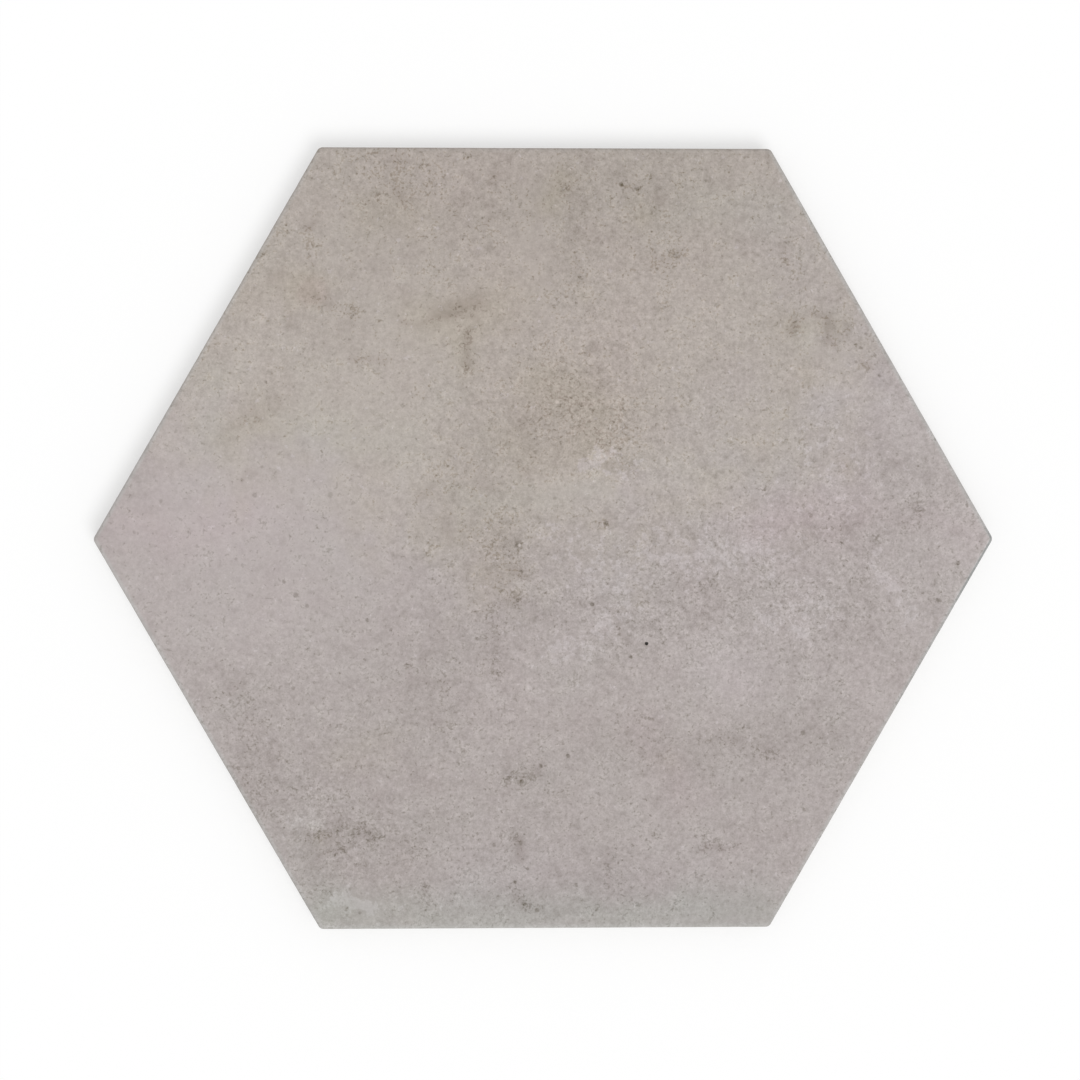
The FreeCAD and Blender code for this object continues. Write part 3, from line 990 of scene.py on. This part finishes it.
def linear(levels):
    # A colour in levels of 255 as the light it reflects
    shares = [level / 255 for level in levels]
    return tuple(((share + 0.055) / 1.055) ** 2.4 for share in shares) + (1.0,)


def dotLevels(finish, place, values, dots):
    # Sum of all dots: full strength at a dot's middle, none at 1.3 times its radius. Noise bends them.
    lumps, sway = values["dotWobble"]
    wobble = finish.node("TexNoise", None, {"Vector": place, "Scale": 1 / lumps, "Detail": 1.0}, "Color")
    wobble = finish.vectors("SCALE", finish.vectors("SUBTRACT", wobble, (0.5, 0.5, 0.5)), sway)
    moved = finish.vectors("MULTIPLY", finish.vectors("ADD", place, wobble), (1.0, 1.0, 0.0))
    total = 0.0
    for strength, radius, pixel in dots.values():
        spot = (*onFace(*pixel)[:2], 0.0)
        gap = finish.vectors("DISTANCE", moved, spot, "Value")
        reach = radius * values["pixel"]
        total = gap.step(0.5 * reach, 1.3 * reach, strength, 0.0) + total
    return total


def makePorcelain(values):
    material = bpy.data.materials.new("matt porcelain")
    finish = Finish(material)
    place = finish.node("TexCoord", output="Object")

    def printed(kind):
        settings = {"attribute_type": "GEOMETRY", "attribute_name": kind}
        return finish.node("Attribute", settings, output="Fac")

    smooth = printed("smooth")
    coarse = 1.0 + printed("grain") - smooth
    noises = {name: finish.noise(place, *shape) for name, shape in values["noises"].items()}
    drift, mottle, grain, grit = [noises[name] for name in ("drift", "mottle", "grain", "grit")]
    stain = printed("stain") * (1.0 + mottle * 1.5 + grain * 2.0)
    levels = printed("tone") + stain + drift * values["cloudLevels"]
    levels = levels + coarse * (grain * values["grainLevels"] + mottle * values["mottleLevels"])

    # Specks stand where fine noise and their crowding together pass a limit.
    crowding = values["crowding"] + printed("dirt") * 1.5 + printed("grain") * 0.35 - smooth
    crowding = crowding + mottle * 4.0 + drift * 1.2
    speck = (noises["specks"] + crowding * 0.22).step(0.20, 0.32)
    levels = levels - speck * values["speckLevels"]
    blot = (noises["blots"] + crowding * 0.05).step(0.11, 0.22)
    levels = levels - blot * values["blotLevels"]

    # Curls lie along lines where one noise is 0, and a second noise picks their stretches.
    loops = finish.maths("ABSOLUTE", noises["loops"], 0.0)
    curl = loops.step(0.04, 0.11, 1.0, 0.0) * (noises["curls"] + crowding * 0.08).step(0.13, 0.19)
    levels = levels - curl * values["curlLevels"]
    chalk = (noises["chalk"] * 1.6 + printed("chalk") * 0.6).step(0.23, 0.30)
    levels = levels + chalk * values["chalkLevels"]
    levels = levels - dotLevels(finish, place, photograph, printDots)

    # Warm goes from cool to beige and green from pink to green. Specks are browner, and stains redder.
    brown = printed("warmth") * speck
    warm = (printed("warmth") + 1.8) * 0.1 + mottle * 0.25 + brown * 0.10
    warm = warm * (1.0 - chalk * 0.5)
    green = (printed("green") + 3.3) * 0.1 + drift * 0.35 + mottle * 0.2 + chalk * 0.06
    green = green - brown * 0.05 + stain * 0.012
    pink = finish.mixed(warm, linear(values["pinkCool"]), linear(values["pinkWarm"]))
    greenish = finish.mixed(warm, linear(values["greenCool"]), linear(values["greenWarm"]))
    ink = finish.mixed(green, pink, greenish)
    ink = finish.vectors("SCALE", ink, values["exposure"])

    # Where the face has fallen by a little it is the rim, where the print thins out.
    height = finish.node("SeparateXYZ", None, {"Vector": place}, "Z")
    rim = height.step(thickness - 0.00012, thickness - 0.00006, 1.0, 0.0)
    thin = rim * (1.0 - printed("printedRim")) * values["rimShare"]
    ink = finish.mixed(thin, ink, linear(values["rim"]))
    # Painted shade and a painted highlight at the marked arris: dark ink on its outer part, and paler
    # levels just inside it.
    edge = printed("edge")
    line = height.step(thickness - 0.00014, thickness - 0.00010, 1.0, 0.0)
    levels = levels * height.step(thickness - 0.0009, thickness - 0.0003, 0.3, 1.0)
    levels = levels + edge * (rim - line) * values["arrisHighlightLevels"]
    ink = finish.mixed(edge * line, ink, linear(values["arrisShadeInk"]))
    shade = finish.vectors("ADD", finish.vectors("SCALE", values["shadeTint"], levels), (1.0, 1.0, 1.0))
    ink = finish.vectors("MULTIPLY", ink, finish.vectors("MAXIMUM", shade, (0.02, 0.02, 0.02)))

    # The bare clay of the wall and back, with kiln dust on the parts that touch the floor
    clay = finish.vectors("SCALE", linear(values["clay"])[:3], 0.97 + grit * 0.5)
    dust = height.step(0.00008, 0.00040, 1.0, 0.0) * mottle.step(-0.15, 0.10) * values["dustShare"]
    clay = finish.mixed(dust, clay, linear(values["dust"]))
    bare = (height + grit * 0.0006).step(thickness - 0.0013, thickness - 0.0009, 1.0, 0.0)
    colour = finish.mixed(bare, ink, clay)

    rough = 0.58 + grain * 0.35 + bare * 0.15
    bump = finish.node("Bump", None, {"Strength": 1.0, "Distance": 0.00003, "Height": grain + grit})
    sockets = {"Base Color": colour, "Roughness": rough, "Specular IOR Level": 0.3, "Normal": bump}
    surface = finish.node("BsdfPrincipled", None, sockets)
    finish.node("OutputMaterial", None, {"Surface": surface})
    return material


body.data.materials.append(makePorcelain(porcelain))
print("porcelain finished")
